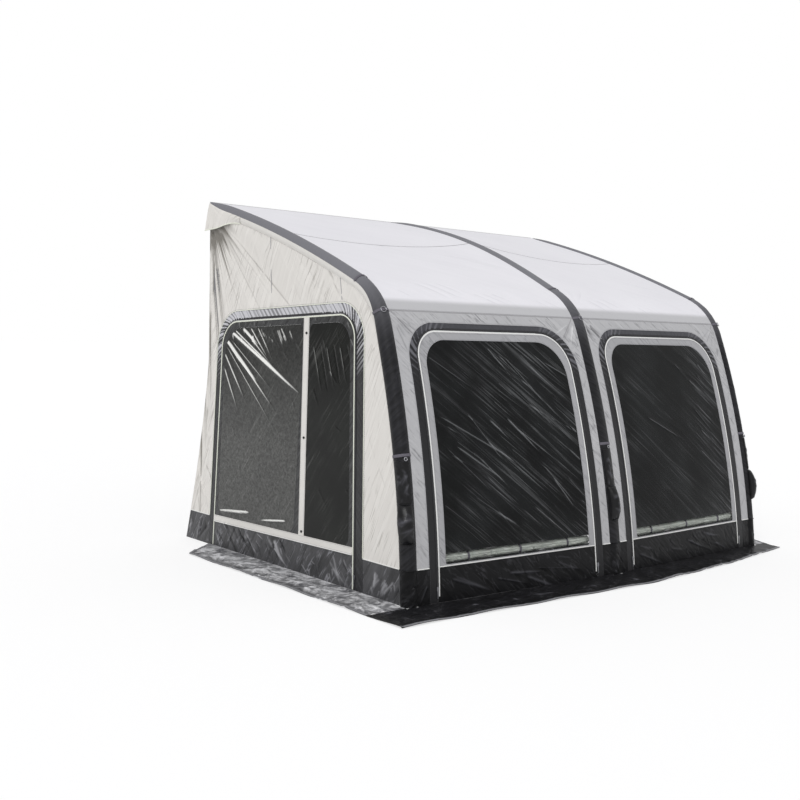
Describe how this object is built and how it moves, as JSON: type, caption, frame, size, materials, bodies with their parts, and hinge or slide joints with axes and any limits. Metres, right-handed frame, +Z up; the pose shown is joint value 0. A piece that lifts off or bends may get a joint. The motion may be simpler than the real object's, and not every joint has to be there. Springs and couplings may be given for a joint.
{
  "type": "caravan awning",
  "caption": "Inflatable porch awning for a caravan: three curved air beams, pitched roof, windowed front panels that fold down and windowed side doors, with a ground flap.",
  "frame": {"origin": "on the ground under the middle of the awning's box", "axes": "+X to the right along the rail, +Y to the rear towards the caravan, +Z up"},
  "size_m": [4.22, 2.925, 2.487],
  "materials": {
    "beam_nylon": "woven nylon air sleeve, matt",
    "charcoal_polyester": "coated woven polyester, matt",
    "roof_polyester": "coated woven polyester, matt",
    "front_polyester": "coated woven polyester, matt",
    "side_polyester": "coated woven polyester, matt",
    "lower_wall_pvc": "PVC coated cloth, glossy",
    "flap_pvc": "PVC coated cloth, creased and glossy",
    "window_pvc": "clear soft PVC film, glossy",
    "blind_polyester": "woven polyester, matt",
    "pad_foam": "cloth over foam, matt",
    "black_plastic": "moulded, fine grain",
    "zip_metal": "cast, dark burnished",
    "keder_pvc": "soft white PVC over cord"
  },
  "bodies": {
    "awning": {"air_beam_left": "beam_nylon", "beam_sleeve_left": "charcoal_polyester", "air_valve_left": "black_plastic", "strap_pocket_left": "lower_wall_pvc", "air_beam_middle": "beam_nylon", "beam_sleeve_middle": "charcoal_polyester", "air_valve_middle": "black_plastic", "strap_pocket_middle": "lower_wall_pvc", "air_beam_right": "beam_nylon", "beam_sleeve_right": "charcoal_polyester", "air_valve_right": "black_plastic", "strap_pocket_right": "lower_wall_pvc", "roof_left": "roof_polyester", "front_wall_left": "front_polyester", "front_band_left": "charcoal_polyester", "side_wall_left": "side_polyester", "side_band_left": "charcoal_polyester", "lower_wall_corner_left": "lower_wall_pvc", "lower_wall_rear_left": "lower_wall_pvc", "ground_flap_left": "flap_pvc", "rear_pad_left": "pad_foam", "rain_hood_left": "side_polyester", "roof_right": "roof_polyester", "front_wall_right": "front_polyester", "front_band_right": "charcoal_polyester", "side_wall_right": "side_polyester", "side_band_right": "charcoal_polyester", "lower_wall_corner_right": "lower_wall_pvc", "lower_wall_rear_right": "lower_wall_pvc", "ground_flap_right": "flap_pvc", "rear_pad_right": "pad_foam", "rain_hood_right": "side_polyester", "lower_wall_middle": "lower_wall_pvc", "ground_flap_front": "flap_pvc", "rail_keder": "keder_pvc"},
    "front_panel_left": {"front_panel_left": "front_polyester", "front_window_left": "window_pvc", "rolled_blind_left": "blind_polyester"},
    "side_door_left": {"side_door_left": "side_polyester", "side_window_front_left": "window_pvc", "side_window_rear_left": "window_pvc"},
    "zip_slider_left_a": {"zip_slider_left_a": "zip_metal"},
    "zip_slider_left_b": {"zip_slider_left_b": "zip_metal"},
    "door_slider_left": {"door_slider_left": "zip_metal"},
    "front_panel_right": {"front_panel_right": "front_polyester", "front_window_right": "window_pvc", "rolled_blind_right": "blind_polyester"},
    "side_door_right": {"side_door_right": "side_polyester", "side_window_front_right": "window_pvc", "side_window_rear_right": "window_pvc"},
    "zip_slider_right_a": {"zip_slider_right_a": "zip_metal"},
    "zip_slider_right_b": {"zip_slider_right_b": "zip_metal"},
    "door_slider_right": {"door_slider_right": "zip_metal"},
    "strap_pouch_left": {"strap_pouch_left": "lower_wall_pvc"},
    "valve_cap_left": {"valve_cap_left": "black_plastic"},
    "strap_pouch_middle": {"strap_pouch_middle": "lower_wall_pvc"},
    "valve_cap_middle": {"valve_cap_middle": "black_plastic"},
    "strap_pouch_right": {"strap_pouch_right": "lower_wall_pvc"},
    "valve_cap_right": {"valve_cap_right": "black_plastic"}
  },
  "joints": [
    {"name": "front_panel_left_fold", "type": "hinge", "parent": "awning", "child": "front_panel_left", "pos_m": [-0.88029, -1.11498, 0.00478], "axis": [0.999, -0.0447, 0], "range_deg": [0, 90]},
    {"name": "side_door_left_swing", "type": "hinge", "parent": "awning", "child": "side_door_left", "pos_m": [-1.79986, 1.0905, 0.0048], "axis": [-0.0294, 0, -0.9996], "range_deg": [0, 95]},
    {"name": "front_panel_right_fold", "type": "hinge", "parent": "awning", "child": "front_panel_right", "pos_m": [0.88029, -1.11498, 0.00478], "axis": [0.999, 0.0447, 0], "range_deg": [0, 90]},
    {"name": "side_door_right_swing", "type": "hinge", "parent": "awning", "child": "side_door_right", "pos_m": [1.79986, 1.0905, 0.0048], "axis": [-0.0294, 0, 0.9996], "range_deg": [0, 95]},
    {"name": "zip_slider_left_a_run", "type": "hinge", "parent": "awning", "child": "zip_slider_left_a", "pos_m": [-1.58871, 4.96147, -0.51934], "axis": [-0.9996, 0, 0.0267], "range_deg": [0, 12.1]},
    {"name": "zip_slider_left_b_run", "type": "hinge", "parent": "awning", "child": "zip_slider_left_b", "pos_m": [-0.18735, 4.92582, -0.61864], "axis": [-1, 0, 0.0023], "range_deg": [0, 12.1]},
    {"name": "zip_slider_right_a_run", "type": "hinge", "parent": "awning", "child": "zip_slider_right_a", "pos_m": [0.18735, 4.92582, -0.61864], "axis": [-1, 0, -0.0023], "range_deg": [0, 12.1]},
    {"name": "zip_slider_right_b_run", "type": "hinge", "parent": "awning", "child": "zip_slider_right_b", "pos_m": [1.58871, 4.96147, -0.51934], "axis": [-0.9996, 0, -0.0267], "range_deg": [0, 12.1]},
    {"name": "door_slider_left_run", "type": "slide", "parent": "awning", "child": "door_slider_left", "axis": [0.0293, 0.0731, 0.9969], "range_m": [0, 1.3]},
    {"name": "door_slider_right_run", "type": "slide", "parent": "awning", "child": "door_slider_right", "axis": [-0.0293, 0.0731, 0.9969], "range_m": [0, 1.3]},
    {"name": "strap_pouch_left_lift", "type": "hinge", "parent": "awning", "child": "strap_pouch_left", "pos_m": [-1.78789, -1.00369, 0.59], "axis": [-0.7071, 0.7071, 0], "range_deg": [0, 60]},
    {"name": "strap_pouch_middle_lift", "type": "hinge", "parent": "awning", "child": "strap_pouch_middle", "pos_m": [0, -1.08468, 0.59], "axis": [-1, 0, 0], "range_deg": [0, 60]},
    {"name": "strap_pouch_right_lift", "type": "hinge", "parent": "awning", "child": "strap_pouch_right", "pos_m": [1.78789, -1.00369, 0.59], "axis": [-0.7071, -0.7071, 0], "range_deg": [0, 60]},
    {"name": "valve_cap_left_turn", "type": "hinge", "parent": "awning", "child": "valve_cap_left", "pos_m": [-1.75177, -0.92934, 0.41276], "axis": [0, 0.9883, -0.1527], "range_deg": [0, 360]},
    {"name": "valve_cap_middle_turn", "type": "hinge", "parent": "awning", "child": "valve_cap_middle", "pos_m": [0, -0.99458, 0.41251], "axis": [0, 0.9883, -0.1527], "range_deg": [0, 360]},
    {"name": "valve_cap_right_turn", "type": "hinge", "parent": "awning", "child": "valve_cap_right", "pos_m": [1.75177, -0.92934, 0.41276], "axis": [0, 0.9883, -0.1527], "range_deg": [0, 360]}
  ]
}
